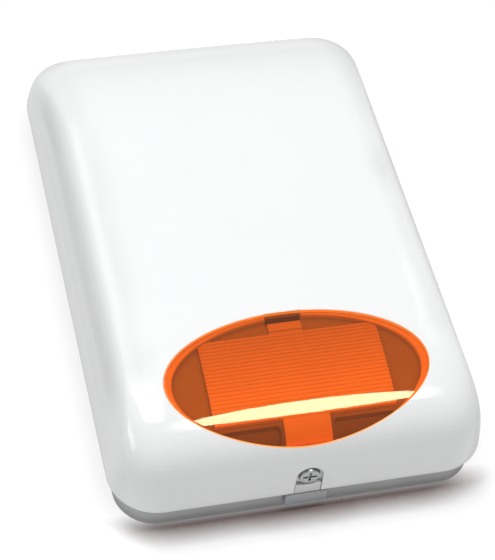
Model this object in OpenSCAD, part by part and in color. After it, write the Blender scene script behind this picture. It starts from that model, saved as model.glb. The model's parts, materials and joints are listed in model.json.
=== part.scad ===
// Wall-mounted alarm siren with an amber strobe lens.
// +Z is up, the wall is the plane Y = 0 and the front faces -Y. The origin is the centre of the back face.

/* [Cover] */
// Width of the cover at its rim
cover_w = 165; // [163:1:167]
// Height of the cover at its rim
cover_h = 260; // [259:1:262]
// Distance from the wall to the front of the cover
cover_d = 57; // [56.5:0.5:58]
// Distance from the wall to the cover's rim
rim_d = 13; // [13:0.5:14]
// Thickness of the cover's wall
cover_t = 2.6; // [2.4:0.1:2.8]
// Corner radius at the rim
rim_corner = 21.5; // [19.5:0.5:23.5]
// Corner radius at the front
front_corner = 14; // [12:0.5:16]

/* [Lens] */
// Width of the elliptical lens
lens_w = 114; // [112:1:116]
// Height of the lens, measured along Z
lens_h = 59; // [56:0.5:60]
// Height of the lens's centre, from the middle of the siren
lens_z = -96; // [-96.5:0.5:-95]
// Thickness of the lens
lens_t = 1.8; // [1.7:0.1:2]
// Number of fine ribs across the diffuser
rib_count = 22; // [16:1:24]

/* [Base] */
// How far the base is set in from the cover's rim
base_inset = 3.2; // [3:0.1:3.4]
// Thickness of the base's floor
floor_t = 2.6; // [2.4:0.1:3]
// Spacing of the wall fixing holes along X
fix_dx = 128; // [126:1:130]
// Spacing of the wall fixing holes along Z
fix_dz = 196; // [194:1:198]
// Radius of a wall fixing hole
fix_r = 2.75; // [2.25:0.25:3]

/* [Hinge and screw] */
// Distance of the hinge axis from the wall
hinge_d = 8; // [8:0.1:8.4]
// Height of the hinge axis
hinge_z = 117.5; // [117:0.1:118]
// Distance of each hook from the middle
hook_x = 45; // [42:1:48]
// Distance of the cover screw's axis from the wall
screw_d = 24.5; // [24:0.1:25]

/* [Hidden] */

// clearance between two pieces that are assembled but don't press
gap = 0.05;
curve_fn = 48;
post_fn = 32;
hole_fn = 24;

// shape of the cover: how each side of a section draws in between the rim and the front
side_draft = 7.2;
side_round = 10;
side_power = 3.2;
top_round = 80;
top_power = 1.97;
bottom_round = 110;
bottom_power = 4.2;
crown = 2;
arc_steps = 6;
edge_steps = 6;
level_steps = 12;
cap_rings = [0.7, 0.35];

// lens seat
lens_a = lens_w / 2;
lens_c = lens_h / 2;
lens_gap = 0.15;
seat_t = lens_t + 0.4;
ledge_t = 1.8;
ledge_side = 3.4;
ledge_top = 1.8;
latch_half = 7.9;
latch_drop = 3.4;

// diffuser plate
diffuser_set = 0.3;
plate_z0 = -114;
plate_z1 = -75;
plate_half = 39;
tab_half = 10;

// base
base_wall = 3.2;
lip_inset = 4.8;
lip_top = 17;
base_top = rim_d - 0.4;
inner_inset = base_inset + base_wall;

// hinge
pin_r = 2;
hook_bore_r = 2.15;
hook_r = 4.6;
hook_w = 8;
hook_reach = 14;
ear_t = 3;
ear_gap = 0.6;
pin_half = hook_w / 2 + ear_gap + ear_t;

// cover screw, running along Z through the bottom of the cover
seat_plane = -cover_h / 2 + 1.9;
seat_plate_t = 2;
slot_half = 6;
shank_r = 1.95;
screw_head_r = 4.8;
screw_head_t = 1.3;
washer_t = 0.5;
lug_low = -cover_h / 2 + 5.8;
lug_high = -111;
insert_r = 3.5;
insert_bore_r = 2;

// printed circuit board
pcb_y = -12;
pcb_t = 1.6;
pcb_front = pcb_y - pcb_t;
pcb_x0 = -70;
pcb_x1 = 20;
pcb_z0 = -54;
pcb_z1 = 8;
pcb_hole_in = 4;
post_r = 3.6;

// battery pack, six cells in two layers of three
cell_r = 7.2;
cell_len = 50;
cell_pitch = 14.5;
pack_x = 49;
pack_z = -28;
pack_y = -floor_t - 1.2;
strap_post_y = pack_y - 27;
strap_t = 1.2;

// horn
horn_z = 58;
horn_r = 42;
horn_front = -41;
horn_flange_y = -14;
horn_post_r = 37;
driver_r = 20;

// strobe
tray_half = 54;
tray_z0 = -113;
tray_z1 = -66;
tray_back = -33;
tray_front = -39.5;
strobe_post_x = 46;
strobe_post_z = [-73, -106];

// cover tamper switch
switch_x = 58;
switch_z = 22;
switch_front = -34;
lever_len = 17;

// wall tamper
plunger_x = -58;
plunger_z = 26;

// ---------- helpers ----------

module slab(y0, y1) {
  translate([0, y1, 0])
    rotate([90, 0, 0])
      linear_extrude(y1 - y0)
        children();
}

module rod_x(r, x0, x1) {
  translate([x0, 0, 0])
    rotate([0, 90, 0])
      cylinder(r = r, h = x1 - x0);
}

module rod_y(r, y0, y1) {
  translate([0, y1, 0])
    rotate([90, 0, 0])
      cylinder(r = r, h = y1 - y0);
}

module block(x0, x1, y0, y1, z0, z1) {
  translate([x0, y0, z0])
    cube([x1 - x0, y1 - y0, z1 - z0]);
}

function arc_points(cx, cy, r, a0, n) =
  [for (k = [0:n]) [cx + r * cos(a0 + 90 * k / n), cy + r * sin(a0 + 90 * k / n)]];

module round_rect(w, h, r, n = 8) {
  polygon(concat(
    arc_points(w / 2 - r, h / 2 - r, r, 0, n),
    arc_points(-w / 2 + r, h / 2 - r, r, 90, n),
    arc_points(-w / 2 + r, -h / 2 + r, r, 180, n),
    arc_points(w / 2 - r, -h / 2 + r, r, 270, n)));
}

// the cover's outline at its rim, set in by a distance
module rim_outline(inset) {
  round_rect(cover_w - 2 * inset, cover_h - 2 * inset, rim_corner - inset, 10);
}

module ellipse_prism(a, c, z, y0 = -cover_d - 5, y1 = -rim_d - 5) {
  translate([0, 0, z])
    slab(y0, y1)
      scale([1, c / a])
        circle(r = a, $fn = 96);
}

// a lead: a round tube through a list of points
module wire(points, r) {
  for (i = [0:len(points) - 2]) {
    hull() {
      translate(points[i]) sphere(r = r, $fn = 8);
      translate(points[i + 1]) sphere(r = r, $fn = 8);
    }
  }
}

// points along a smooth curve with end points a and d and handles b and c
function bezier(a, b, c, d, n) =
  [for (k = [0:n]) let (t = k / n, u = 1 - t)
    u * u * u * a + 3 * u * u * t * b + 3 * u * t * t * c + t * t * t * d];

// a pan-head screw along Y with a cross slot, head to the front
module pan_screw(r, head_r, head_t, length) {
  difference() {
    union() {
      rod_y(head_r, -head_t, 0, $fn = post_fn);
      rod_y(r, 0, length, $fn = hole_fn);
    }
    block(-head_r * 0.6, head_r * 0.6, -head_t - 1, -head_t * 0.45, -0.35, 0.35);
    block(-0.35, 0.35, -head_t - 1, -head_t * 0.45, -head_r * 0.6, head_r * 0.6);
  }
}

// ---------- cover surface ----------

// share of the full inset reached at depth fraction h
function draw_in(h, power) = 1 - pow(max(0, 1 - pow(h, power)), 1 / power);
function half_width(h, t) = cover_w / 2 - t - side_draft * h - side_round * draw_in(h, side_power);
function top_edge(h, t) = cover_h / 2 - t - top_round * draw_in(h, top_power);
function bottom_edge(h, t) = -cover_h / 2 + t + bottom_round * draw_in(h, bottom_power);
function section_corner(h, t) = rim_corner - t - (rim_corner - front_corner) * h;
function front_depth(x, t) = cover_d - t - crown * pow(2 * x / cover_w, 2);
function surface_y(x, h, t) = -(rim_d + (front_depth(x, t) - rim_d) * h);

function corner_centre(q, w, z0, z1, r) = [(q == 0 || q == 3) ? w - r : r - w, (q < 2) ? z1 - r : z0 + r];
function corner_point(q, k, w, z0, z1, r) =
  corner_centre(q % 4, w, z0, z1, r)
  + r * [cos(90 * q + 90 * k / arc_steps), sin(90 * q + 90 * k / arc_steps)];

// one section of the cover as points in X and Z
function section(w, z0, z1, r) = [
  for (q = [0:3]) each concat(
    [for (k = [0:arc_steps]) corner_point(q, k, w, z0, z1, r)],
    [for (j = [1:edge_steps])
      let (a = corner_point(q, arc_steps, w, z0, z1, r), b = corner_point(q + 1, 0, w, z0, z1, r))
        a + (b - a) * j / (edge_steps + 1)])];

function section_at(h, t) =
  section(half_width(h, t), bottom_edge(h, t), top_edge(h, t), section_corner(h, t));

// solid bounded by the cover's surface set in by t, from the plane y = -back to the front
module cover_solid(t, back = rim_d) {
  ring_size = 4 * (arc_steps + 1 + edge_steps);
  levels = [for (i = [0:level_steps]) sin(90 * i / level_steps)];
  front_ring = section_at(1, t);
  mid_z = (top_edge(1, t) + bottom_edge(1, t)) / 2;
  skirt = back < rim_d ? [for (p = section_at(0, t)) [p[0], -back, p[1]]] : [];
  walls = [for (h = levels) each [for (p = section_at(h, t)) [p[0], surface_y(p[0], h, t), p[1]]]];
  cap = [for (s = cap_rings) each
    [for (p = front_ring) [p[0] * s, surface_y(p[0] * s, 1, t), mid_z + (p[1] - mid_z) * s]]];
  tip = [[0, surface_y(0, 1, t), mid_z]];
  points = concat(skirt, walls, cap, tip);
  rings = (len(points) - 1) / ring_size;
  last = len(points) - 1;
  back_face = [[for (j = [0:ring_size - 1]) j]];
  sides = [for (i = [0:rings - 2]) for (j = [0:ring_size - 1])
    let (a = i * ring_size, b = a + ring_size, n = (j + 1) % ring_size)
      each [[a + j, b + j, b + n], [a + j, b + n, a + n]]];
  fan = [
    for (j = [0:ring_size - 1])
      let (a = (rings - 1) * ring_size) [a + j, last, a + (j + 1) % ring_size]
  ];
  polyhedron(points = points, faces = concat(back_face, sides, fan), convexity = 6);
}

module cover_shell(t0, t1) {
  difference() {
    cover_solid(t0);
    cover_solid(t1, rim_d - 2);
  }
}

// the opening through the lens ledge: narrower at the sides and top, level with the lens at the bottom
module ledge_opening(shrink = 0) {
  c = lens_c - ledge_top / 2;
  ellipse_prism(lens_a - ledge_side - shrink, c - shrink, lens_z - ledge_top / 2 + 0.4);
}

// depth fraction and Y of the cover's surface at height Z, on its lower half
function level_at(z, t) =
  pow(1 - pow(1 - max(0, z + cover_h / 2 - t) / bottom_round, bottom_power), 1 / bottom_power);
function surface_at(z, t) = -(rim_d + (cover_d - t - rim_d) * level_at(z, t));

// points in Y and Z along the surface, and a band between two offsets of it
function band_front(z0, z1, t) = [for (k = [0:6]) let (z = z0 + (z1 - z0) * k / 6) [surface_at(z, t), z]];
function band_back(z0, z1, t) = [for (k = [6:-1:0]) let (z = z0 + (z1 - z0) * k / 6) [surface_at(z, t), z]];
function band(z0, z1, t0, t1) = concat(band_front(z0, z1, t0), band_back(z0, z1, t1));

// an outline in Y and Z, drawn out to both sides of the middle
module rib_plate(outline, half) {
  translate([-half, 0, 0])
    rotate([90, 0, 90])
      linear_extrude(2 * half)
        polygon(outline);
}

// ---------- cover body ----------

// hook arm that clips over a hinge pin and reaches round to the inside of the cover's top wall
module hook() {
  arm_t = 1.75;
  difference() {
    union() {
      translate([0, -hinge_d, hinge_z]) rod_x(hook_r, -hook_w / 2, hook_w / 2, $fn = post_fn);
      hull() {
        translate([0, -hinge_d - 3, hinge_z]) rod_x(arm_t, -hook_w / 2, hook_w / 2, $fn = 20);
        translate([0, -hinge_d - hook_reach, hinge_z]) rod_x(arm_t, -hook_w / 2, hook_w / 2, $fn = 20);
      }
      hull() {
        translate([0, -hinge_d - hook_reach, hinge_z]) rod_x(arm_t, -hook_w / 2, hook_w / 2, $fn = 20);
        translate([0, -hinge_d - hook_reach, hinge_z + 8]) rod_x(arm_t, -hook_w / 2, hook_w / 2, $fn = 20);
      }
      hull() {
        translate([0, -hinge_d - hook_reach, hinge_z + 5]) rod_x(1, -1, 1, $fn = 12);
        translate([0, -hinge_d - hook_reach - 11, hinge_z + 2]) rod_x(1, -1, 1, $fn = 12);
        translate([0, -hinge_d - hook_reach - 1, hinge_z - 1]) rod_x(1, -1, 1, $fn = 12);
      }
    }
    translate([0, -hinge_d, hinge_z])
      rod_x(hook_bore_r, -hook_w, hook_w, $fn = curve_fn);
    hull() {
      translate([0, -hinge_d, hinge_z]) rod_x(1.75, -hook_w, hook_w, $fn = 20);
      translate([0, -hinge_d + 2, hinge_z - 8]) rod_x(2.1, -hook_w, hook_w, $fn = 20);
    }
  }
}

// flat seat for the screw's head, with a recess that is open to the rim
module screw_recess() {
  hull() {
    translate([0, -screw_d, -cover_h / 2 - 1])
      cylinder(r = slot_half, h = seat_plane + cover_h / 2 + 1, $fn = post_fn);
    translate([0, -rim_d + 2, -cover_h / 2 - 1])
      cylinder(r = slot_half, h = seat_plane + cover_h / 2 + 1, $fn = post_fn);
  }
  hull() {
    translate([0, -screw_d, -cover_h / 2])
      cylinder(r = shank_r + 0.5, h = 10, $fn = post_fn);
    translate([0, -rim_d + 2, -cover_h / 2])
      cylinder(r = shank_r + 0.5, h = 10, $fn = post_fn);
  }
}

module screw_seat() {
  block(-slot_half - 2, slot_half + 2, -screw_d - slot_half - 2, -rim_d,
        seat_plane, seat_plane + seat_plate_t);
  block(-slot_half - 2, -slot_half, -screw_d - slot_half - 2, -rim_d, -cover_h / 2 + 1, seat_plane + 0.5);
  block(slot_half, slot_half + 2, -screw_d - slot_half - 2, -rim_d, -cover_h / 2 + 1, seat_plane + 0.5);
}

module outer_cover() color("white") {
  difference() {
    union() {
      cover_shell(0, cover_t);
      // ledge behind the lens
      intersection() {
        cover_shell(1, seat_t + ledge_t);
        ellipse_prism(lens_a + 2.4, lens_c + 2.4, lens_z);
      }
      for (s = [-1, 1]) translate([s * hook_x, 0, 0]) hook();
      intersection() {
        screw_seat();
        cover_solid(0);
      }
      // rib that holds the cover tamper lever down
      block(switch_x - 3, switch_x + 3, -cover_d + crown + 0.5, switch_front - 2.4,
            switch_z - 13, switch_z - 11.4);
    }
    // pocket for the lens
    difference() {
      ellipse_prism(lens_a + lens_gap, lens_c + lens_gap, lens_z);
      cover_solid(seat_t, rim_d - 2);
    }
    ledge_opening();
    // window for the lens latch
    block(-latch_half, latch_half, -cover_d - 1, -rim_d - 20,
      lens_z + lens_c - latch_drop, lens_z + lens_c + 0.1);
    screw_recess();
  }
}

module lens() color("orange", 0.7) {
  intersection() {
    cover_shell(0, lens_t);
    ellipse_prism(lens_a, lens_c, lens_z);
  }
}

module lens_gasket() color("whitesmoke") {
  difference() {
    intersection() {
      cover_shell(lens_t + gap, seat_t - gap);
      ellipse_prism(lens_a - 0.3, lens_c - 0.3, lens_z);
    }
    ledge_opening(-0.4);
    block(-latch_half - 0.3, latch_half + 0.3, -cover_d - 1, -rim_d - 20,
      lens_z + lens_c - latch_drop - 1, lens_z + lens_c + 1);
  }
}

// ribbed plate close behind the lens, with a foot below and a latch tab above
module strobe_diffuser() color("ivory") {
  rib_depth = 0.5;
  plate_t = ledge_t - diffuser_set;
  pitch = (plate_z1 - plate_z0) / rib_count;
  front = seat_t + diffuser_set;
  ribs = [for (i = [0:rib_count - 1]) let (z = plate_z0 + i * pitch)
    each [[surface_at(z + 0.1 * pitch, front), z + 0.1 * pitch],
      [surface_at(z + 0.5 * pitch, front), z + 0.5 * pitch],
      [surface_at(z + 0.7 * pitch, front + rib_depth), z + 0.7 * pitch],
      [surface_at(z + 0.9 * pitch, front + rib_depth), z + 0.9 * pitch]]];
  intersection() {
    rib_plate(concat(ribs, band_back(plate_z0 + 0.1 * pitch, plate_z1, front + plate_t)), plate_half);
    ledge_opening(0.5);
  }
  foot_z = lens_z - lens_c + 2.5;
  intersection() {
    rib_plate(band(foot_z, plate_z0 + 1, front + 0.3, front + plate_t), tab_half);
    ledge_opening(0.5);
  }
  // latch tab, with a groove where it leaves the plate
  groove_z = plate_z1 + 1.2;
  rib_plate(band(plate_z1 - 1, groove_z, front + 1, front + plate_t), latch_half - 0.6);
  rib_plate(band(groove_z, lens_z + lens_c - latch_drop - 0.1, front + 0.3, front + plate_t),
            latch_half - 0.6);
}

// outlines of the two pockets below the ribbed plate, either side of its foot
module pocket_places(grow) {
  pocket_x0 = tab_half + 1.2;
  pocket_x1 = 38.5;
  pocket_z0 = -121.8;
  pocket_z1 = plate_z0 - 1.2;
  for (s = [-1, 1])
    translate([s * (pocket_x0 + pocket_x1) / 2, 0, (pocket_z0 + pocket_z1) / 2])
      slab(-cover_d, -rim_d)
        round_rect(pocket_x1 - pocket_x0 + 2 * grow, pocket_z1 - pocket_z0 + 2 * grow, 2 + grow);
}

// carrier behind the ledge, with a window behind the ribbed plate and two pockets below it
module diffuser_frame() color("gray") {
  frame_t = 1.5;
  overlap = 1.6;
  frame_z0 = -122.6;
  pocket_depth = 2.4;
  pocket_floor = 0.8;
  back = seat_t + ledge_t + gap;
  difference() {
    union() {
      intersection() {
        cover_shell(back, back + frame_t);
        ledge_opening(-overlap);
        block(-lens_a, lens_a, -cover_d, -rim_d, frame_z0, lens_z + lens_c);
      }
      intersection() {
        rib_plate(band(frame_z0, plate_z0, back + frame_t / 2, back + pocket_depth + pocket_floor),
                  plate_half + 1);
        pocket_places(0.9);
      }
    }
    translate([0, 0, (plate_z0 + plate_z1) / 2])
      slab(-cover_d, -rim_d)
        round_rect(2 * plate_half - 5, plate_z1 - plate_z0 - 4, 2);
    intersection() {
      rib_plate(band(frame_z0 + 0.4, plate_z0, 0, back + pocket_depth), plate_half + 1);
      pocket_places(0);
    }
    block(-latch_half, latch_half, -cover_d - 1, -rim_d - 20,
      lens_z + lens_c - latch_drop, lens_z + lens_c);
  }
}

// ---------- base body ----------

module fixing_places() {
  for (sx = [-1, 1])
    for (sz = [-1, 1])
      translate([sx * fix_dx / 2, 0, sz * fix_dz / 2])
        children();
}

module pcb_places() {
  for (x = [pcb_x0 + pcb_hole_in, pcb_x1 - pcb_hole_in])
    for (z = [pcb_z0 + pcb_hole_in, pcb_z1 - pcb_hole_in])
      translate([x, 0, z])
        children();
}

module horn_places() {
  for (a = [90, 210, 330])
    translate([horn_post_r * cos(a), 0, horn_z + horn_post_r * sin(a)])
      children();
}

module strobe_places() {
  for (sx = [-1, 1])
    for (z = strobe_post_z)
      translate([sx * strobe_post_x, 0, z])
        children();
}

module strap_places() {
  for (s = [-1, 1])
    translate([pack_x, 0, pack_z + s * (cell_len / 2 + 6)])
      children();
}

module hinge_ears() {
  for (sx = [-1, 1])
    for (k = [-1, 1])
      translate([sx * hook_x + k * (hook_w / 2 + ear_gap + ear_t / 2), 0, 0]) {
        translate([0, -hinge_d, hinge_z]) rod_x(4.2, -ear_t / 2, ear_t / 2, $fn = curve_fn);
        block(-ear_t / 2, ear_t / 2, -hinge_d, -floor_t + 0.5, hinge_z - 4.2, hinge_z + 4.2);
      }
}

cable_z = -84;
cable_r = 10;
slot_count = 7;
module back_plate() color("gray") {
  difference() {
    union() {
      difference() {
        union() {
          slab(-base_top, 0) rim_outline(base_inset);
          slab(-lip_top, -base_top) rim_outline(lip_inset);
        }
        slab(-lip_top - 1, -floor_t) rim_outline(inner_inset);
      }
      fixing_places() rod_y(7, -6, -floor_t + 0.5, $fn = curve_fn);
      pcb_places() rod_y(post_r, pcb_y, -floor_t + 0.5, $fn = post_fn);
      horn_places() rod_y(4, horn_flange_y + 2, -floor_t + 0.5, $fn = post_fn);
      strobe_places() rod_y(4, tray_back, -floor_t + 0.5, $fn = post_fn);
      strap_places() rod_y(4.5, strap_post_y, -floor_t + 0.5, $fn = post_fn);
      hinge_ears();
      // cradle ribs under the battery
      for (dz = [-15, 15])
        block(pack_x - 20, pack_x + 20, pack_y, -floor_t + 0.5, pack_z + dz - 1, pack_z + dz + 1);
      // seat of the tamper bracket
      translate([switch_x, 0, switch_z]) rod_y(4, -8, -floor_t + 0.5, $fn = post_fn);
      // collar around the cable entry
      translate([0, 0, cable_z]) rod_y(cable_r + 3, -5, -floor_t + 0.5, $fn = curve_fn);
    }
    fixing_places() rod_y(fix_r, -10, 1, $fn = curve_fn);
    pcb_places() rod_y(1.2, pcb_y - 1, -4, $fn = hole_fn);
    horn_places() rod_y(1.4, horn_flange_y, -4, $fn = hole_fn);
    strobe_places() rod_y(1.4, tray_back - 1, -14, $fn = hole_fn);
    strap_places() rod_y(1.4, strap_post_y - 1, -14, $fn = hole_fn);
    translate([switch_x, 0, switch_z]) rod_y(1.4, -9, -4, $fn = hole_fn);
    translate([0, 0, cable_z]) rod_y(cable_r, -10, 1, $fn = curve_fn);
    translate([plunger_x, 0, plunger_z]) rod_y(4.5, -10, 1, $fn = curve_fn);
    for (sx = [-1, 1]) {
      // bores of the hinge ears and the notches that the hooks swing into
      translate([sx * hook_x, -hinge_d, hinge_z])
        rod_x(pin_r + 0.02, -pin_half - 1, pin_half + 1, $fn = curve_fn);
      block(sx * hook_x - hook_w / 2 - 1, sx * hook_x + hook_w / 2 + 1, -lip_top - 1, -base_top + 3.2,
        hinge_z + 5, cover_h / 2);
      // sound outlets through the side walls
      for (i = [0:slot_count - 1])
        block(sx * cover_w / 2 - 9, sx * cover_w / 2 + 9, -9.5, -4.5, 22 + i * 11, 28 + i * 11);
    }
    // opening for the screw lug in the bottom wall
    block(-slot_half - 3.2, slot_half + 3.2, -lip_top - 1, -floor_t - 2,
          -cover_h / 2, -cover_h / 2 + inner_inset + 0.2);
  }
}

module hinge_pins() color("silver") {
  for (sx = [-1, 1])
    translate([sx * hook_x, -hinge_d, hinge_z])
      rod_x(pin_r, -pin_half, pin_half, $fn = curve_fn);
}

module cable_grommet() color("black") {
  translate([0, 0, cable_z])
    rotate([90, 0, 0])
      rotate_extrude($fn = curve_fn)
        polygon([[4, 0], [cable_r - gap, 0], [cable_r - gap, 5 + gap], [cable_r + 2.4, 5 + gap],
          [cable_r + 2.4, 6.6], [8, 8], [4, 8]]);
}

// outer foot, the tongue that fills the recess below the screw, and the inner block that carries the insert
module screw_lug() color("whitesmoke") {
  difference() {
    union() {
      block(-slot_half - 3, slot_half + 3, -screw_d - 5.5, -floor_t - 2 - gap, lug_low, lug_high);
      block(-slot_half - 3, slot_half + 3, -floor_t - 3, -floor_t - gap,
            -cover_h / 2 + inner_inset + gap, lug_high);
      block(-slot_half - 3, slot_half + 3, -base_top + gap, -floor_t - 2 - gap,
            -cover_h / 2 + 0.2, lug_low + 1);
      block(-slot_half + 0.4, slot_half - 0.4, -screw_d + screw_head_r + 0.7, -base_top + 1,
        -cover_h / 2 + 0.2, seat_plane - 0.4);
    }
    translate([0, -screw_d, lug_low - 1])
      cylinder(r = insert_r + 0.01, h = lug_high - lug_low + 2, $fn = curve_fn);
    block(-slot_half - 4, slot_half + 4, -rim_d - 0.1, -rim_d + 0.7, -cover_h / 2, -cover_h / 2 + 1.1);
    // relief below the foot of the strobe tray
    block(-slot_half - 4, slot_half + 4, -screw_d - 6, -screw_d - 4.6, lug_high - 4, lug_high + 1);
  }
}

module threaded_insert() color("gold") {
  translate([0, -screw_d, lug_low + 0.5])
    difference() {
      cylinder(r = insert_r, h = 9, $fn = curve_fn);
      translate([0, 0, -1])
        cylinder(r = insert_bore_r, h = 11, $fn = curve_fn);
      for (z = [2.6, 5.6])
        translate([0, 0, z])
          difference() {
            cylinder(r = insert_r + 1, h = 0.8, $fn = curve_fn);
            translate([0, 0, -1]) cylinder(r = insert_r - 0.4, h = 3, $fn = curve_fn);
          }
    }
}

module main_pcb() color("darkgreen") {
  difference() {
    block(pcb_x0, pcb_x1, pcb_front, pcb_y - gap, pcb_z0, pcb_z1);
    pcb_places() rod_y(1.6, pcb_front - 1, pcb_y + 1, $fn = hole_fn);
  }
}

module pcb_screws() color("silver") {
  pcb_places()
    translate([0, pcb_front - gap, 0])
      pan_screw(1.15, 2.8, 1.8, 7);
}

term_count = 8;
term_pitch = 5.08;
term_x0 = -62.5;
term_z = -46;
module terminal_block() color("seagreen") {
  difference() {
    block(term_x0, term_x0 + term_count * term_pitch, pcb_front - 10, pcb_front - gap,
          term_z - 4.5, term_z + 4.5);
    for (i = [0:term_count - 1])
      translate([term_x0 + (i + 0.5) * term_pitch, 0, 0]) {
        translate([0, 0, term_z + 1]) rod_y(1.9, pcb_front - 11, pcb_front - 6, $fn = hole_fn);
        block(-1.6, 1.6, pcb_front - 5, pcb_front - 1.6, term_z - 6, term_z - 1.5);
      }
  }
}

module terminal_screws() color("silver") {
  for (i = [0:term_count - 1])
    translate([term_x0 + (i + 0.5) * term_pitch, pcb_front - 7.4, term_z + 1])
      difference() {
        rod_y(1.8, -1.4, 1.3, $fn = hole_fn);
        block(-2, 2, -2, -0.8, -0.3, 0.3);
      }
}

module relay() color("royalblue") {
  difference() {
    block(-64, -45, pcb_front - 15, pcb_front - gap, -22, -6);
    block(-62, -47, pcb_front - 16, pcb_front - 14.6, -20, -8);
  }
}

module capacitors() color("midnightblue") {
  for (p = [[-34, -12, 6.2, 20], [-20, -14, 5, 16], [-6, -8, 4, 12]])
    translate([p[0], 0, p[1]])
      rotate([90, 0, 0])
        rotate_extrude($fn = curve_fn)
          polygon([[0, -pcb_front + gap], [p[2], -pcb_front + gap], [p[2], -pcb_front + 2.2],
            [p[2] - 0.5, -pcb_front + 2.8], [p[2], -pcb_front + 3.4], [p[2], -pcb_front + p[3] - 0.6],
            [p[2] - 0.6, -pcb_front + p[3]], [0, -pcb_front + p[3]]]);
}

module driver_coil() color("chocolate") {
  translate([8, 0, -26])
    rotate([90, 0, 0])
      rotate_extrude($fn = curve_fn)
        polygon([[0, -pcb_front + gap], [7.5, -pcb_front + gap], [7.5, -pcb_front + 2], [6, -pcb_front + 2],
          [6, -pcb_front + 9], [7.5, -pcb_front + 9], [7.5, -pcb_front + 11], [0, -pcb_front + 11]]);
}

module pcb_chips() color("black") {
  block(-38, -28, pcb_front - 2.4, pcb_front - gap, -34, -24);
  block(-20, -14, pcb_front - 1.8, pcb_front - gap, -38, -33);
  block(-62, -58, pcb_front - 1.8, pcb_front - gap, -34, -29);
  block(-8, -3, pcb_front - 1.4, pcb_front - gap, -34, -29);
}

// three shrouded pin headers along the top edge and one at the bottom right
header_places = [[-50, 2], [-30, 2], [-10, 2], [5, -48]];
module pcb_headers() color("ivory") {
  for (p = header_places)
    difference() {
      block(p[0] - 4.5, p[0] + 4.5, pcb_front - 7, pcb_front - gap, p[1] - 3, p[1] + 3);
      block(p[0] - 3.6, p[0] + 3.6, pcb_front - 8, pcb_front - 1.5, p[1] - 2.1, p[1] + 2.1);
    }
}

module lead_plugs() color("white") {
  for (p = header_places)
    union() {
      block(p[0] - 3.5, p[0] + 3.5, pcb_front - 10.5, pcb_front - 1.6, p[1] - 2, p[1] + 2);
      block(p[0] - 4.4, p[0] + 4.4, pcb_front - 10.5, pcb_front - 7.1, p[1] - 2.6, p[1] + 2.6);
    }
}

module battery_cells() color("limegreen") {
  for (i = [-1:1])
    for (j = [0, 1])
      translate([pack_x + i * cell_pitch, pack_y - gap - cell_r - j * cell_pitch, pack_z - cell_len / 2])
        union() {
          cylinder(r = cell_r, h = cell_len - 1, $fn = curve_fn);
          cylinder(r = 2.7, h = cell_len, $fn = hole_fn);
        }
}

strap_y = pack_y - 2 * cell_pitch - 0.4;
module battery_strap() color("silver") {
  difference() {
    union() {
      block(pack_x - 7, pack_x + 7, strap_y - strap_t, strap_y,
            pack_z - cell_len / 2 - 1.8, pack_z + cell_len / 2 + 1.8);
      for (s = [-1, 1]) {
        z_in = pack_z + s * (cell_len / 2 + 0.7);
        z_far = pack_z + s * (cell_len / 2 + 10.5);
        block(pack_x - 7, pack_x + 7, strap_y - strap_t, strap_post_y - gap,
          min(z_in, z_in + s * strap_t), max(z_in, z_in + s * strap_t));
        block(pack_x - 7, pack_x + 7, strap_post_y - strap_t, strap_post_y - gap,
              min(z_in, z_far), max(z_in, z_far));
      }
    }
    strap_places() rod_y(1.7, strap_post_y - 13, strap_post_y + 7, $fn = hole_fn);
  }
}

module strap_screws() color("silver") {
  strap_places()
    translate([0, strap_post_y - strap_t - gap, 0])
      pan_screw(1.35, 3, 1.8, 9);
}

module battery_lead_red() color("red") {
  wire(bezier([pack_x - 14, strap_y - 2, pack_z + 8], [pack_x - 30, strap_y - 8, pack_z + 14],
    [8, pcb_front - 26, 16], [-8, pcb_front - 11.2, 2], 9), 0.8);
}

module battery_lead_black() color("dimgray") {
  wire(bezier([pack_x - 14, strap_y - 2, pack_z + 2], [pack_x - 30, strap_y - 8, pack_z + 10],
    [4, pcb_front - 26, 10], [-11.5, pcb_front - 11.2, 2], 9), 0.8);
}

// flared horn, mouth to the front, with its mounting lugs
module horn_bell() color("dimgray") {
  difference() {
    union() {
      translate([0, 0, horn_z])
        rotate([90, 0, 0])
          rotate_extrude($fn = 64)
            polygon(concat(
              [for (k = [0:10]) let (u = k / 10)
                [12 + (horn_r - 12) * pow(u, 2.2), 16 + (-horn_front - 16) * u]],
              [for (k = [10:-1:0]) let (u = k / 10)
                [14 + (horn_r - 12) * pow(u, 2.2), 15 + (-horn_front - 16) * u]],
              [[driver_r + 3, 15], [driver_r + 3, 12.5], [12, 12.5]]));
      horn_places() rod_y(4.4, horn_flange_y, horn_flange_y + 2 - gap, $fn = post_fn);
      for (a = [90, 210, 330])
        translate([0, 0, horn_z])
          rotate([0, -a, 0])
            block(driver_r, horn_post_r, horn_flange_y, horn_flange_y + 1.5, -2.5, 2.5);
    }
    horn_places() rod_y(1.7, horn_flange_y - 3, horn_flange_y + 4, $fn = hole_fn);
  }
}

module horn_plug() color("dimgray") {
  translate([0, 0, horn_z])
    rotate([90, 0, 0])
      rotate_extrude($fn = curve_fn)
        polygon([[0, 18], [9, 18], [8, 24], [5, 30], [2, 33], [0, 33.6]]);
  for (a = [30, 150, 270])
    translate([0, 0, horn_z])
      rotate([0, -a, 0])
        block(7, 11.9, -20.4, -18.2, -0.8, 0.8);
}

module driver_case() color("black") {
  translate([0, 0, horn_z])
    rotate([90, 0, 0])
      rotate_extrude($fn = curve_fn)
        polygon([[0, 4.2], [driver_r, 4.2], [driver_r, 12.4],
                 [driver_r - 2, 12.4], [driver_r - 2, 6.2], [0, 6.2]]);
}

module piezo_disc() color("gold") {
  translate([0, 0, horn_z]) {
    rod_y(driver_r - 2.2, -10.4, -10, $fn = curve_fn);
    rod_y(driver_r - 7, -10.9, -10.4, $fn = curve_fn);
  }
}

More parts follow.
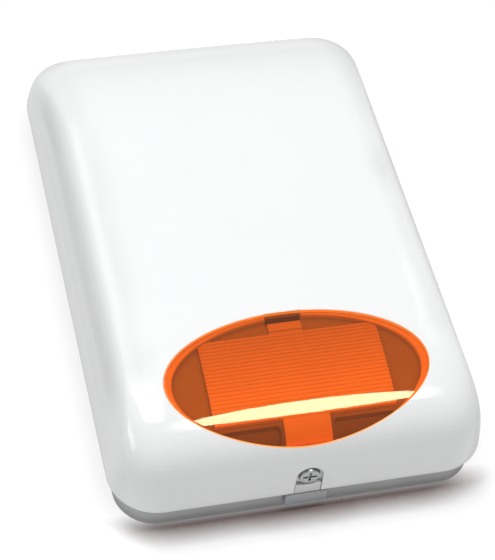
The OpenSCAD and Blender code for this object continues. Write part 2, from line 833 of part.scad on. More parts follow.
module horn_screws() color("silver") {
  horn_places()
    translate([0, horn_flange_y - gap, 0])
      pan_screw(1.35, 3, 1.8, 7);
}

module horn_leads() color("firebrick") {
  for (s = [-1, 1])
    wire(bezier([-30 + 1.5 * s, pcb_front - 11.2, 2], [-33 + 2 * s, pcb_front - 21, 12],
      [-13 + s, -10, 20], [-11 + s, -8, horn_z - 18.6], 8), 0.7);
}

module strobe_tray() color("white") {
  wall = 1.8;
  mid_z = (tray_z0 + tray_z1) / 2;
  tray_h = tray_z1 - tray_z0;
  difference() {
    translate([0, 0, mid_z])
      slab(tray_front, tray_back - gap)
        round_rect(2 * tray_half, tray_h, 12);
    translate([0, 0, mid_z])
      slab(tray_front - 1, tray_back - wall)
        round_rect(2 * (tray_half - wall), tray_h - 2 * wall, 12 - wall);
    strobe_places() rod_y(1.7, tray_front - 1, tray_back + 2, $fn = hole_fn);
    block(-6, 6, tray_back - wall - 1, tray_back + 1, -84, -76);
  }
}

strobe_pcb_y = tray_back - 2.4;
module strobe_pcb() color("darkgreen") {
  difference() {
    block(-38, 38, strobe_pcb_y - 1.2, strobe_pcb_y, -108, -74);
    block(-7, 7, strobe_pcb_y - 2, strobe_pcb_y + 1, -85, -79);
  }
}

module strobe_leds() color("lightyellow") {
  for (i = [-2:2])
    for (z = [-99, -89])
      translate([i * 15, 0, z])
        union() {
          block(-2.5, 2.5, strobe_pcb_y - 2.1, strobe_pcb_y - 1.2 - gap, -2.5, 2.5);
          rod_y(1.8, strobe_pcb_y - 2.8, strobe_pcb_y - 2.1, $fn = hole_fn);
        }
}

module strobe_screws() color("silver") {
  strobe_places()
    translate([0, tray_back - 1.8 - gap, 0])
      pan_screw(1.35, 3, 1.8, 8);
}

module strobe_leads() color("orange") {
  for (s = [-1, 1])
    wire(bezier([2 * s, strobe_pcb_y + 0.2, -81], [2 * s, -26, -72], [5 + 2 * s, -34, -60],
      [5 + 1.5 * s, pcb_front - 11.3, -48], 8), 0.7);
}

// bracket that carries the cover tamper switch, screwed to the base
module tamper_bracket() color("gray") {
  difference() {
    union() {
      block(switch_x - 5, switch_x + 5, -9.5, -8 - gap, switch_z - 5, switch_z + 5);
      block(switch_x - 5, switch_x + 5, switch_front + 11, -8 - gap, switch_z + 5, switch_z + 7);
      block(switch_x - 5, switch_x + 5, switch_front + 11, switch_front + 12.5,
            switch_z - 12, switch_z + 7);
    }
    translate([switch_x, 0, switch_z]) rod_y(1.7, -12, -6, $fn = hole_fn);
  }
}

button_z = switch_z - 3;
module tamper_switch() color("black") {
  difference() {
    union() {
      block(switch_x - 3.2, switch_x + 3.2, switch_front + 1, switch_front + 11 - gap,
            switch_z - 12, switch_z + 7);
      block(switch_x - 3.2, switch_x - 1.9, switch_front - 1.6, switch_front + 2,
            switch_z + 3, switch_z + 6.6);
      block(switch_x + 1.9, switch_x + 3.2, switch_front - 1.6, switch_front + 2,
            switch_z + 3, switch_z + 6.6);
    }
    block(switch_x - 1.3, switch_x + 1.3, switch_front - 1, switch_front + 5,
          button_z - 1.8, button_z + 1.8);
    translate([switch_x, switch_front, switch_z + 4.8]) rod_x(0.62, -4, 4, $fn = hole_fn);
    for (z = [-8, 2])
      translate([switch_x, switch_front + 8, switch_z + z]) rod_x(1.1, -4, 4, $fn = hole_fn);
  }
}

module tamper_lever() color("silver") {
  translate([switch_x, switch_front, switch_z + 4.8]) {
    rod_x(0.6, -3.1, 3.1, $fn = hole_fn);
    block(-1.6, 1.6, -0.5, 0.1, -lever_len, 0);
    // rolled end that the cover's rib presses on
    translate([0, -0.9, -lever_len]) rod_x(1.2, -1.6, 1.6, $fn = post_fn);
  }
}

module tamper_button() color("firebrick") {
  block(switch_x - 1.2, switch_x + 1.2, switch_front + 0.2, switch_front + 3.6,
        button_z - 1.7, button_z + 1.7);
}

// guide for the plunger that feels the wall
module wall_tamper_guide() color("black") {
  translate([plunger_x, 0, plunger_z])
    difference() {
      union() {
        rod_y(8, -5, -floor_t - gap, $fn = curve_fn);
        rod_y(6, -22, -5, $fn = curve_fn);
      }
      rod_y(4.3, -20, 0, $fn = curve_fn);
    }
}

module wall_tamper_spring() color("silver") {
  turns = 5;
  steps = 12;
  translate([plunger_x, 0, plunger_z])
    for (i = [0:turns * steps - 1]) {
      a = 360 * i / steps;
      b = 360 * (i + 1) / steps;
      hull() {
        translate([3.1 * cos(a), -9.2 - 10 * i / (turns * steps), 3.1 * sin(a)]) sphere(r = 0.35, $fn = 6);
        translate([3.1 * cos(b), -9.2 - 10 * (i + 1) / (turns * steps), 3.1 * sin(b)])
          sphere(r = 0.35, $fn = 6);
      }
    }
}

module wall_tamper_plunger() color("red") {
  translate([plunger_x, 0, plunger_z]) {
    rod_y(4.2, -8.6, 0, $fn = curve_fn);
    rod_y(2.2, -16, -8.6, $fn = post_fn);
  }
}

// ---------- cover screw ----------

module screw_washer() color("gainsboro") {
  translate([0, -screw_d, seat_plane - washer_t - gap])
    difference() {
      cylinder(r = screw_head_r + 0.3, h = washer_t, $fn = curve_fn);
      translate([0, 0, -1]) cylinder(r = shank_r + 0.05, h = 3, $fn = curve_fn);
    }
}

module cover_screw() color("silver") {
  head_low = seat_plane - washer_t - screw_head_t - 2 * gap;
  translate([0, -screw_d, head_low])
    difference() {
      union() {
        cylinder(r1 = screw_head_r - 0.5, r2 = screw_head_r, h = screw_head_t, $fn = curve_fn);
        cylinder(r = shank_r, h = 14, $fn = curve_fn);
      }
      block(-3, 3, -0.5, 0.5, -1, 0.8);
      block(-0.5, 0.5, -3, 3, -1, 0.8);
    }
}

outer_cover();
lens();
lens_gasket();
strobe_diffuser();
diffuser_frame();
back_plate();
hinge_pins();
cable_grommet();
screw_lug();
threaded_insert();
main_pcb();
pcb_screws();
terminal_block();
terminal_screws();
relay();
capacitors();
driver_coil();
pcb_chips();
pcb_headers();
lead_plugs();
battery_cells();
battery_strap();
strap_screws();
battery_lead_red();
battery_lead_black();
horn_bell();
horn_plug();
driver_case();
piezo_disc();
horn_screws();
horn_leads();
strobe_tray();
strobe_pcb();
strobe_leds();
strobe_screws();
strobe_leads();
tamper_bracket();
tamper_switch();
tamper_lever();
tamper_button();
wall_tamper_guide();
wall_tamper_spring();
wall_tamper_plunger();
cover_screw();
screw_washer();
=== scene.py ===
"""Looks of the alarm siren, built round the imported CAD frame.

The siren stands on the wall plane Y = 0: +Z is up the wall and the front faces -Y.
Lengths are in millimetres and become metres when a mesh is made.
"""

import json
import math

import bmesh
import bpy
from mathutils import Matrix, Vector
from mathutils.bvhtree import BVHTree


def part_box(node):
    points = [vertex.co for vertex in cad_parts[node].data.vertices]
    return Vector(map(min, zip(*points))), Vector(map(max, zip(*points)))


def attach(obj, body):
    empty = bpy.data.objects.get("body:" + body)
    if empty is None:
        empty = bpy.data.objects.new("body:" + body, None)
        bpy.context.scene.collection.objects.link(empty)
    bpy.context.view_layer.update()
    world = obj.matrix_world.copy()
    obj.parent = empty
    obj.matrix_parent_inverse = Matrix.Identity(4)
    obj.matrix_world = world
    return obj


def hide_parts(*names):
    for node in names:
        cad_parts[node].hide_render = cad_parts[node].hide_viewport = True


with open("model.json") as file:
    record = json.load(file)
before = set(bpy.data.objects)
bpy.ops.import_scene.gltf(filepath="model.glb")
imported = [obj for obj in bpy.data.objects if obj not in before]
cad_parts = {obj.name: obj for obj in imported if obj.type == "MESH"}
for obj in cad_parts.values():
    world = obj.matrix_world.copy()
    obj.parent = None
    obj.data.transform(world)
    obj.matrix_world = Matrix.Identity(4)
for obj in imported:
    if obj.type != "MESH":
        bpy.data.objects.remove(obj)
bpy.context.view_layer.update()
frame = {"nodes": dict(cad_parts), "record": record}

MM = 0.001


def box_mm(node):
    low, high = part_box(node)
    return low / MM, high / MM


# ---------- driving dimensions ----------

cover_low, cover_high = box_mm("outer_cover")
COVER_W = cover_high.x - cover_low.x
COVER_H = cover_high.z - cover_low.z
COVER_D = -cover_low.y
RIM_D = 13.0
COVER_T = 2.6

# how each side of a section of the cover draws in between the rim and the front
SIDE_DRAFT = 7.2
SIDE_ROUND, SIDE_POWER = 10.0, 3.2
TOP_ROUND, TOP_POWER = 80.0, 1.97
BOTTOM_ROUND, BOTTOM_POWER = 110.0, 4.2
RIM_CORNER, FRONT_CORNER = 21.5, 14.0
CROWN = 2.0
RIM_EDGE_R, RIM_INNER_R = 0.7, 0.3

# lens and its seat
lens_low, lens_high = box_mm("lens")
LENS_A = (lens_high.x - lens_low.x) / 2
LENS_C = (lens_high.z - lens_low.z) / 2
LENS_Z = (lens_high.z + lens_low.z) / 2
LENS_T = 1.8
LENS_GAP = 0.15
SEAT_T = 2.2
LEDGE_T = 1.8
LEDGE_SIDE, LEDGE_TOP = 3.4, 1.8
LATCH_HALF, LATCH_DROP = 7.9, 3.4

# hinge hooks
HINGE_D, HINGE_Z = 8.0, 117.5
HOOK_X, HOOK_W = 45.0, 8.0
HOOK_R, HOOK_BORE_R, HOOK_ARM_R, HOOK_REACH = 4.6, 2.15, 1.75, 14.0

# seat of the cover screw
SCREW_D = 24.5
SEAT_PLANE = -COVER_H / 2 + 1.9
SEAT_PLATE_T = 2.0
SLOT_HALF = 6.0
SHANK_SLOT_R = 2.45


# ---------- the cover's surface ----------

def draw_in(h, power):
    """Share of the full inset reached at depth fraction h."""
    return 1 - max(0.0, 1 - h ** power) ** (1 / power)


def half_width(h, t):
    return COVER_W / 2 - t - SIDE_DRAFT * h - SIDE_ROUND * draw_in(h, SIDE_POWER)


def top_edge(h, t):
    return COVER_H / 2 - t - TOP_ROUND * draw_in(h, TOP_POWER)


def bottom_edge(h, t):
    return -COVER_H / 2 + t + BOTTOM_ROUND * draw_in(h, BOTTOM_POWER)


def front_depth(x, t):
    return COVER_D - t - CROWN * (2 * x / COVER_W) ** 2


def surface_y(x, h, t):
    return -(RIM_D + (front_depth(x, t) - RIM_D) * h)


def level_at(z, t):
    """Depth fraction of the lower half of the cover at height z."""
    inset = min(1.0, max(0.0, (z + COVER_H / 2 - t) / BOTTOM_ROUND))
    return max(0.0, 1 - (1 - inset) ** BOTTOM_POWER) ** (1 / BOTTOM_POWER)


def lower_y(x, z, t):
    return surface_y(x, level_at(z, t), t)


def section(h, t, arc_steps=12, edge_steps=15):
    """One section of the cover set in by t, as points in X and Z."""
    w, z0, z1 = half_width(h, t), bottom_edge(h, t), top_edge(h, t)
    r = RIM_CORNER - t - (RIM_CORNER - FRONT_CORNER) * h
    centres = [(w - r, z1 - r), (r - w, z1 - r), (r - w, z0 + r), (w - r, z0 + r)]
    points = []
    for q in range(4):
        arc = [math.radians(90 * q + 90 * k / arc_steps) for k in range(arc_steps + 1)]
        points += [(centres[q][0] + r * math.cos(a), centres[q][1] + r * math.sin(a)) for a in arc]
        turn = math.radians(90 * (q + 1))
        nxt = centres[(q + 1) % 4]
        end = (nxt[0] + r * math.cos(turn), nxt[1] + r * math.sin(turn))
        start = points[-1]
        for j in range(1, edge_steps + 1):
            s = j / (edge_steps + 1)
            points.append((start[0] + (end[0] - start[0]) * s, start[1] + (end[1] - start[1]) * s))
    return points


# ---------- mesh helpers ----------

def new_object(name, bm):
    bmesh.ops.recalc_face_normals(bm, faces=bm.faces)
    mesh = bpy.data.meshes.new(name)
    bm.to_mesh(mesh)
    bm.free()
    obj = bpy.data.objects.new(name, mesh)
    bpy.context.scene.collection.objects.link(obj)
    return obj


def closed_rings(name, rings, first, last):
    """A closed solid through rings of equal size, with a fan to a point at each end."""
    bm = bmesh.new()
    rows = [[bm.verts.new(Vector(p) * MM) for p in ring] for ring in rings]
    n = len(rows[0])
    for a, b in zip(rows, rows[1:]):
        for j in range(n):
            bm.faces.new((a[j], b[j], b[(j + 1) % n], a[(j + 1) % n]))
    for row, tip in ((rows[0], first), (rows[-1], last)):
        point = bm.verts.new(Vector(tip) * MM)
        for j in range(n):
            bm.faces.new((row[j], row[(j + 1) % n], point))
    return new_object(name, bm)


def prism(name, outline, place, low, high):
    """An outline drawn out between two places; place(u, v, w) gives the point."""
    bm = bmesh.new()
    ends = [[bm.verts.new(Vector(place(u, v, w)) * MM) for u, v in outline] for w in (low, high)]
    n = len(outline)
    for j in range(n):
        bm.faces.new((ends[0][j], ends[0][(j + 1) % n], ends[1][(j + 1) % n], ends[1][j]))
    for end in ends:
        bm.faces.new(end)
    return new_object(name, bm)


def along_x(u, v, w):
    return (w, u, v)


def along_z(u, v, w):
    return (u, v, w)


def hull(circles, steps=40):
    """Outline round circles given as (u, v, radius), by their support in each direction."""
    points = []
    for k in range(steps):
        a = 2 * math.pi * k / steps
        best = max(circles, key=lambda c: c[0] * math.cos(a) + c[1] * math.sin(a) + c[2])
        points.append((best[0] + best[2] * math.cos(a), best[1] + best[2] * math.sin(a)))
    return points


def block(name, x0, x1, y0, y1, z0, z1):
    return prism(name, [(x0, y0), (x1, y0), (x1, y1), (x0, y1)], along_z, z0, z1)


def boolean(target, tool, operation):
    """Applies a boolean to target's mesh and removes the tool."""
    modifier = target.modifiers.new("cut", "BOOLEAN")
    modifier.object = tool
    modifier.operation = operation
    modifier.solver = "EXACT"
    graph = bpy.context.evaluated_depsgraph_get()
    mesh = bpy.data.meshes.new_from_object(target.evaluated_get(graph))
    target.modifiers.clear()
    target.data = mesh
    bpy.data.objects.remove(tool)
    return target


def disc(name, a, c, zc, profile, rings=9, steps=144):
    """A closed elliptical solid that follows the cover's lower half.

    profile lists (growth of the outline, depth below the surface) from front to back.
    """
    def point(r, growth, phi, t):
        x = r * (a + growth) * math.cos(phi)
        z = zc + r * (c + growth) * math.sin(phi)
        return (x, lower_y(x, z, t), z)

    angles = [2 * math.pi * k / steps for k in range(steps)]
    inner = [k / rings for k in range(1, rings)]
    front_g, front_t = profile[0]
    back_g, back_t = profile[-1]
    rows = [[point(r, front_g, phi, front_t) for phi in angles] for r in inner]
    rows += [[point(1, g, phi, t) for phi in angles] for g, t in profile]
    rows += [[point(r, back_g, phi, back_t) for phi in angles] for r in reversed(inner)]
    return closed_rings(name, rows, point(0, 0, 0, front_t), point(0, 0, 0, back_t))


# ---------- cover ----------

def cover_levels(steps_soft=24, steps_tight=30):
    """Depth fractions from rim to front, close together where the surface turns."""
    quarter = math.pi / 2
    soft = [math.sin(quarter * k / steps_soft) for k in range(1, steps_soft + 1)]
    tight = [math.sin(quarter * k / steps_tight) ** (2 / BOTTOM_POWER) for k in range(1, steps_tight + 1)]
    levels = []
    for h in sorted(soft + tight):
        if h > 0.04 and (not levels or h - levels[-1] > 2e-5):
            levels.append(h)
    return levels


def wall_ring(h, t, depth_t):
    return [(x, surface_y(x, h, depth_t), z) for x, z in section(h, t)]


def cap_ring(share, t):
    mid = (top_edge(1, t) + bottom_edge(1, t)) / 2
    ring = [(x * share, mid + (z - mid) * share) for x, z in section(1, t)]
    return [(x, surface_y(x, 1, t), z) for x, z in ring]


def cap_tip(t):
    return (0, surface_y(0, 1, t), (top_edge(1, t) + bottom_edge(1, t)) / 2)


def edge_rings(t_wall, radius, side):
    """Rings round the edge of the rim; side is 1 outside and -1 inside."""
    depth = COVER_D - RIM_D
    rings = []
    for k in range(5):
        a = math.pi / 2 * k / 4
        h = radius * (1 - math.sin(a)) / depth
        rings.append(wall_ring(h, t_wall + side * radius * (1 - math.cos(a)), 0))
    return rings


def cover_shell():
    levels = cover_levels()
    shares = [0.94, 0.86, 0.76, 0.64, 0.5, 0.35, 0.18]
    outer = [wall_ring(h, 0, 0) for h in levels] + [cap_ring(s, 0) for s in shares]
    inner = [wall_ring(h, COVER_T, COVER_T) for h in levels] + [cap_ring(s, COVER_T) for s in shares]
    rings = list(reversed(inner))
    rings += edge_rings(COVER_T, RIM_INNER_R, -1)
    rings += list(reversed(edge_rings(0, RIM_EDGE_R, 1)))
    rings += outer
    return closed_rings("cover", rings, cap_tip(COVER_T), cap_tip(0))


def hook(x_mid):
    x0, x1 = x_mid - HOOK_W / 2, x_mid + HOOK_W / 2
    far = -HINGE_D - HOOK_REACH
    body = prism("hook", hull([(-HINGE_D, HINGE_Z, HOOK_R)], 64), along_x, x0, x1)
    arm = [(-HINGE_D - 3, HINGE_Z, HOOK_ARM_R), (far, HINGE_Z, HOOK_ARM_R)]
    upright = [(far, HINGE_Z, HOOK_ARM_R), (far, HINGE_Z + 8, HOOK_ARM_R)]
    brace = [(far, HINGE_Z + 5, 1), (far - 11, HINGE_Z + 2, 1), (far - 1, HINGE_Z - 1, 1)]
    boolean(body, prism("arm", hull(arm), along_x, x0, x1), "UNION")
    boolean(body, prism("upright", hull(upright), along_x, x0 + 0.01, x1 - 0.01), "UNION")
    boolean(body, prism("brace", hull(brace), along_x, x_mid - 1, x_mid + 1), "UNION")
    bore = prism("bore", hull([(-HINGE_D, HINGE_Z, HOOK_BORE_R)], 48), along_x, x0 - 1, x1 + 1)
    boolean(body, bore, "DIFFERENCE")
    mouth = hull([(-HINGE_D, HINGE_Z, 1.75), (-HINGE_D + 2, HINGE_Z - 8, 2.1)])
    boolean(body, prism("mouth", mouth, along_x, x0 - 1, x1 + 1), "DIFFERENCE")
    return body


def build_cover():
    shell = cover_shell()
    smooth_source = shell.data.copy()
    ledge_growth = 2.4
    ledge = disc("ledge", LENS_A, LENS_C, LENS_Z,
                 [(ledge_growth, 1.3), (ledge_growth, SEAT_T + LEDGE_T)])
    boolean(shell, ledge, "UNION")
    for side in (-1, 1):
        boolean(shell, hook(side * HOOK_X), "UNION")
    seat_back = -SCREW_D - SLOT_HALF - 2
    wide = SLOT_HALF + 2
    seat = block("seat", -wide, wide, seat_back, -RIM_D - 0.02, SEAT_PLANE, SEAT_PLANE + SEAT_PLATE_T)
    boolean(shell, seat, "UNION")
    rib_low, rib_high = 9.0, 10.6
    rib_x = box_mm("tamper_switch")[0].x + 3.2
    rib = block("rib", rib_x - 3, rib_x + 3, -COVER_D + CROWN + 0.5, -36.4, rib_low, rib_high)
    boolean(shell, rib, "UNION")

    # pocket for the lens, with its edge eased, then the opening through the ledge
    ease = 0.22
    pocket = disc("pocket", LENS_A + LENS_GAP, LENS_C + LENS_GAP, LENS_Z,
                  [(2.5 + ease, -2.5), (ease, 0.0), (0.0, ease), (0.0, SEAT_T)])
    boolean(shell, pocket, "DIFFERENCE")
    opening_c = LENS_C - LEDGE_TOP / 2
    opening = disc("opening", LENS_A - LEDGE_SIDE, opening_c, LENS_Z - LEDGE_TOP / 2 + 0.4,
                   [(0.0, 0.6), (0.0, SEAT_T + LEDGE_T + 1.5)])
    boolean(shell, opening, "DIFFERENCE")
    window = block("window", -LATCH_HALF, LATCH_HALF, -COVER_D - 1, -RIM_D - 20,
                   LENS_Z + LENS_C - LATCH_DROP, LENS_Z + LENS_C + 0.1)
    boolean(shell, window, "DIFFERENCE")

    # recess below the screw's head, open to the rim
    low = -COVER_H / 2 - 1
    recess = hull([(0, -SCREW_D, SLOT_HALF), (0, -RIM_D + 8, SLOT_HALF)], 64)
    boolean(shell, prism("recess", recess, along_z, low, SEAT_PLANE), "DIFFERENCE")
    shank = hull([(0, -SCREW_D, SHANK_SLOT_R), (0, -RIM_D + 4, SHANK_SLOT_R)], 48)
    boolean(shell, prism("shank", shank, along_z, low, SEAT_PLANE + 8), "DIFFERENCE")
    set_normals(shell, smooth_source)
    return shell


def set_normals(obj, source, hard_angle=math.radians(32)):
    """Takes the normals of the smooth surface where a face lies on it, and shades the rest by angle."""
    sheet = bmesh.new()
    sheet.from_mesh(source)
    bmesh.ops.triangulate(sheet, faces=sheet.faces)
    tree = BVHTree.FromBMesh(sheet)
    sheet.faces.ensure_lookup_table()
    tight = 4e-6

    def sheet_normal(point):
        spot, normal, index, distance = tree.find_nearest(point)
        face = sheet.faces[index]
        a, b, c = (v.co for v in face.verts)
        e1, e2, d = b - a, c - a, spot - a
        d11, d12, d22 = e1.dot(e1), e1.dot(e2), e2.dot(e2)
        s1, s2 = d.dot(e1), d.dot(e2)
        det = d11 * d22 - d12 * d12
        if abs(det) < 1e-24:
            return normal
        v, w = (d22 * s1 - d12 * s2) / det, (d11 * s2 - d12 * s1) / det
        n = [vert.normal for vert in face.verts]
        return ((1 - v - w) * n[0] + v * n[1] + w * n[2]).normalized()

    mesh = obj.data
    faces_at = [[] for _ in mesh.vertices]
    for poly in mesh.polygons:
        for v in poly.vertices:
            faces_at[v].append(poly.index)
    on_sheet = []
    for poly in mesh.polygons:
        spot, normal, index, distance = tree.find_nearest(poly.center)
        close = distance < tight and abs(normal.dot(poly.normal)) > 0.98
        on_sheet.append(close)
    normals = [Vector((0, 0, 1))] * len(mesh.loops)
    cos_hard = math.cos(hard_angle)
    for poly in mesh.polygons:
        poly.use_smooth = True
        for loop in poly.loop_indices:
            v = mesh.loops[loop].vertex_index
            if on_sheet[poly.index]:
                n = sheet_normal(mesh.vertices[v].co)
                normals[loop] = n if n.dot(poly.normal) > 0 else -n
            else:
                near = [mesh.polygons[f] for f in faces_at[v] if not on_sheet[f]]
                total = sum((f.normal * f.area for f in near if f.normal.dot(poly.normal) > cos_hard),
                            Vector((0, 0, 0)))
                normals[loop] = total.normalized() if total.length > 0 else poly.normal.copy()
    mesh.normals_split_custom_set([tuple(n) for n in normals])
    sheet.free()


cover = build_cover()
lens_edge = 0.35
lens = disc("amber_lens", LENS_A, LENS_C, LENS_Z,
            [(-lens_edge - 0.3, 0.0), (-lens_edge, 0.0), (-lens_edge * 0.35, lens_edge * 0.25),
             (0.0, lens_edge), (0.0, LENS_T), (-0.3, LENS_T)],
            rings=28, steps=192)
set_normals(lens, lens.data.copy())


def edge_faces(obj):
    """The faces round the side of the lens, between its front and its back."""
    share = 0.996
    for poly in obj.data.polygons:
        x, z = poly.center.x / MM / LENS_A, (poly.center.z / MM - LENS_Z) / LENS_C
        flat = abs(poly.normal.x) + abs(poly.normal.z) < 0.8
        if math.hypot(x, z) > share and not flat:
            yield poly


# ---------- materials ----------

def nodes_of(name):
    mat = bpy.data.materials.new(name)
    mat.use_nodes = True
    tree = mat.node_tree
    tree.nodes.clear()
    return mat, tree


def add(tree, kind, inputs=None, **settings):
    """Adds a shader node; inputs are values or sockets to link, by input name or index."""
    node = tree.nodes.new(kind)
    for key, value in settings.items():
        setattr(node, key, value)
    for key, value in (inputs or {}).items():
        if isinstance(value, bpy.types.NodeSocket):
            tree.links.new(value, node.inputs[key])
        else:
            node.inputs[key].default_value = value
    return node


def noise(tree, scale, detail=4.0, stretch=(1, 1, 1)):
    coord = add(tree, "ShaderNodeTexCoord")
    mapping = add(tree, "ShaderNodeMapping", {"Vector": coord.outputs["Object"], "Scale": stretch})
    return add(tree, "ShaderNodeTexNoise",
               {"Vector": mapping.outputs["Vector"], "Scale": scale, "Detail": detail}).outputs["Fac"]


def ranged(tree, value, low, high, start=0.3, end=0.7):
    return add(tree, "ShaderNodeMapRange", {"Value": value, "From Min": start, "From Max": end,
                                            "To Min": low, "To Max": high}).outputs["Result"]


def mixed(tree, factor, one, other):
    node = add(tree, "ShaderNodeMix", data_type="RGBA")
    for index, value in ((0, factor), (6, one), (7, other)):
        if isinstance(value, bpy.types.NodeSocket):
            tree.links.new(value, node.inputs[index])
        else:
            node.inputs[index].default_value = value
    return node.outputs[2]


def tone(colour, factor):
    return (*(min(1.0, c * factor) for c in colour), 1.0)


def edge_mask(tree, radius, sharp=0.985):
    """1 where the surface turns within radius metres, such as a moulded edge."""
    bevel = add(tree, "ShaderNodeBevel", {"Radius": radius}, samples=4)
    geometry = add(tree, "ShaderNodeNewGeometry")
    dot = add(tree, "ShaderNodeVectorMath", {0: bevel.outputs["Normal"], 1: geometry.outputs["Normal"]},
              operation="DOT_PRODUCT")
    return ranged(tree, dot.outputs["Value"], 1.0, 0.0, 0.9, sharp)


# where the cover's long sides are eased, in metres: away from the middle, above the lens, ahead of the rim
EASE_X, EASE_Z, EASE_Y, EASE_RADIUS = (0.054, 0.066), (-0.100, -0.080), (-0.038, -0.024), 0.024


def eased_normal(tree):
    """The surface normal, averaged over a wide radius along the long sides of the cover."""
    geometry = add(tree, "ShaderNodeNewGeometry")
    coord = add(tree, "ShaderNodeTexCoord")
    place = add(tree, "ShaderNodeSeparateXYZ", {0: coord.outputs["Object"]})
    aside = add(tree, "ShaderNodeMath", {0: place.outputs["X"]}, operation="ABSOLUTE")
    upper = add(tree, "ShaderNodeMath", {0: ranged(tree, aside.outputs[0], 0.0, 1.0, *EASE_X),
                                         1: ranged(tree, place.outputs["Z"], 0.0, 1.0, *EASE_Z)},
                operation="MULTIPLY")
    mask = add(tree, "ShaderNodeMath", {0: upper.outputs[0],
                                        1: ranged(tree, place.outputs["Y"], 1.0, 0.0, *EASE_Y)},
               operation="MULTIPLY")
    wide = add(tree, "ShaderNodeBevel", {"Radius": EASE_RADIUS}, samples=12)
    blend = add(tree, "ShaderNodeMix", {0: mask.outputs[0]}, data_type="VECTOR")
    tree.links.new(geometry.outputs["Normal"], blend.inputs[4])
    tree.links.new(wide.outputs["Normal"], blend.inputs[5])
    return add(tree, "ShaderNodeVectorMath", {0: blend.outputs[1]}, operation="NORMALIZE").outputs["Vector"]


def finish(name, colour, rough=0.4, metallic=0.0, spread=0.06, tint=0.05, cloud=60.0, grain=900.0,
           bump=0.1, relief=0.00005, stretch=(1, 1, 1), coat=0.0, edge=0.0, ior=1.5, two_tone_and_painted_shade=None,
           fade=None, shade=0.0, soft_sides=False, extra=None):
    """A moulded, plated or rubber finish with cloudy tone, uneven gloss, fine grain and worn edges.

    The setting for two tones is (axis, metres, colour) for the part below that place along the axis; on the
    lug it is a second colour, and on the frame it is painted shade in the deep pockets.
    fade is (axis, start, end, factor) for a tone that changes between two places.
    shade is painted shade: it darkens the colour in recesses, where ambient occlusion finds surfaces close
    by, and soft_sides eases the shading where the cover's long sides turn into its front.
    """
    mat, tree = nodes_of(name)
    clouds = noise(tree, cloud, 3.0)
    fine = noise(tree, grain, 5.0, stretch)
    base = mixed(tree, ranged(tree, clouds, 0.0, 1.0), tone(colour, 1 - tint), tone(colour, 1 + tint))
    # a second colour below a place along an axis, which on the frame is painted shade
    if two_tone_and_painted_shade:
        coord = add(tree, "ShaderNodeTexCoord")
        place = add(tree, "ShaderNodeSeparateXYZ", {0: coord.outputs["Object"]})
        ahead = add(tree, "ShaderNodeMath", {0: place.outputs[two_tone_and_painted_shade[0]], 1: two_tone_and_painted_shade[1]},
                    operation="LESS_THAN")
        base = mixed(tree, ahead.outputs[0], base, tone(two_tone_and_painted_shade[2], 1.0))
    if fade:
        coord = add(tree, "ShaderNodeTexCoord")
        place = add(tree, "ShaderNodeSeparateXYZ", {0: coord.outputs["Object"]})
        along = ranged(tree, place.outputs[fade[0]], 0.0, 1.0, fade[1], fade[2])
        base = mixed(tree, along, base, tone(colour, fade[3]))
    # painted shade: the colour darkens where ambient occlusion finds surfaces within 3 mm
    if shade:
        near = add(tree, "ShaderNodeAmbientOcclusion", {"Distance": 0.003}, samples=4)
        base = mixed(tree, ranged(tree, near.outputs["AO"], 0.0, 1.0, 0.2, 0.9),
                     tone(colour, 1 - shade), base)
    gloss = ranged(tree, noise(tree, cloud * 4, 4.0, stretch), rough - spread, rough + spread)
    if edge:
        mask = edge_mask(tree, 0.0006)
        base = mixed(tree, mask, base, tone(colour, 1 + edge))
    height = add(tree, "ShaderNodeBump", {"Height": fine, "Strength": bump, "Distance": relief})
    if soft_sides:
        tree.links.new(eased_normal(tree), height.inputs["Normal"])
    shader = add(tree, "ShaderNodeBsdfPrincipled", {
        "Base Color": base, "Roughness": gloss, "Metallic": metallic, "IOR": ior,
        "Coat Weight": coat, "Coat Roughness": 0.08, "Normal": height.outputs["Normal"]})
    for key, value in (extra or {}).items():
        shader.inputs[key].default_value = value
    out = add(tree, "ShaderNodeOutputMaterial")
    tree.links.new(shader.outputs[0], out.inputs["Surface"])
    return mat


# colour of the lens's gloss, and the share and colour of the haze in its plastic
SKIN_TINT = (1.0, 0.97, 0.58, 1.0)
HAZE, HAZE_TINT = 0.09, (1.0, 0.22, 0.08, 1.0)


def amber(name, tint, rough=0.035):
    """Clear coloured plastic, tinted at each face, with a little haze and a glossy skin."""
    mat, tree = nodes_of(name)
    wave = noise(tree, 25.0, 2.0)
    bump = add(tree, "ShaderNodeBump", {"Height": wave, "Strength": 0.05, "Distance": 0.0003})
    shade = mixed(tree, ranged(tree, noise(tree, 14.0, 2.0), 0.0, 1.0), tone(tint, 0.985), tone(tint, 1.0))
    through = add(tree, "ShaderNodeBsdfTransparent", {"Color": shade})
    skin = add(tree, "ShaderNodeBsdfGlossy", {
        "Color": SKIN_TINT, "Roughness": ranged(tree, noise(tree, 300.0, 4.0), rough * 0.7, rough * 1.3),
        "Normal": bump.outputs["Normal"]}, distribution="GGX")
    fresnel = add(tree, "ShaderNodeFresnel", {"IOR": 1.5, "Normal": bump.outputs["Normal"]})
    geometry = add(tree, "ShaderNodeNewGeometry")
    front = add(tree, "ShaderNodeMath", {0: 1.0, 1: geometry.outputs["Backfacing"]}, operation="SUBTRACT")
    share = add(tree, "ShaderNodeMath", {0: fresnel.outputs[0], 1: front.outputs[0]}, operation="MULTIPLY")
    milk = add(tree, "ShaderNodeBsdfDiffuse", {"Color": HAZE_TINT})
    haze = add(tree, "ShaderNodeMath", {0: HAZE, 1: front.outputs[0]}, operation="MULTIPLY")
    body = add(tree, "ShaderNodeMixShader", {0: haze.outputs[0], 1: through.outputs[0], 2: milk.outputs[0]})
    blend = add(tree, "ShaderNodeMixShader", {0: share.outputs[0], 1: body.outputs[0], 2: skin.outputs[0]})
    out = add(tree, "ShaderNodeOutputMaterial")
    tree.links.new(blend.outputs[0], out.inputs["Surface"])
    return mat


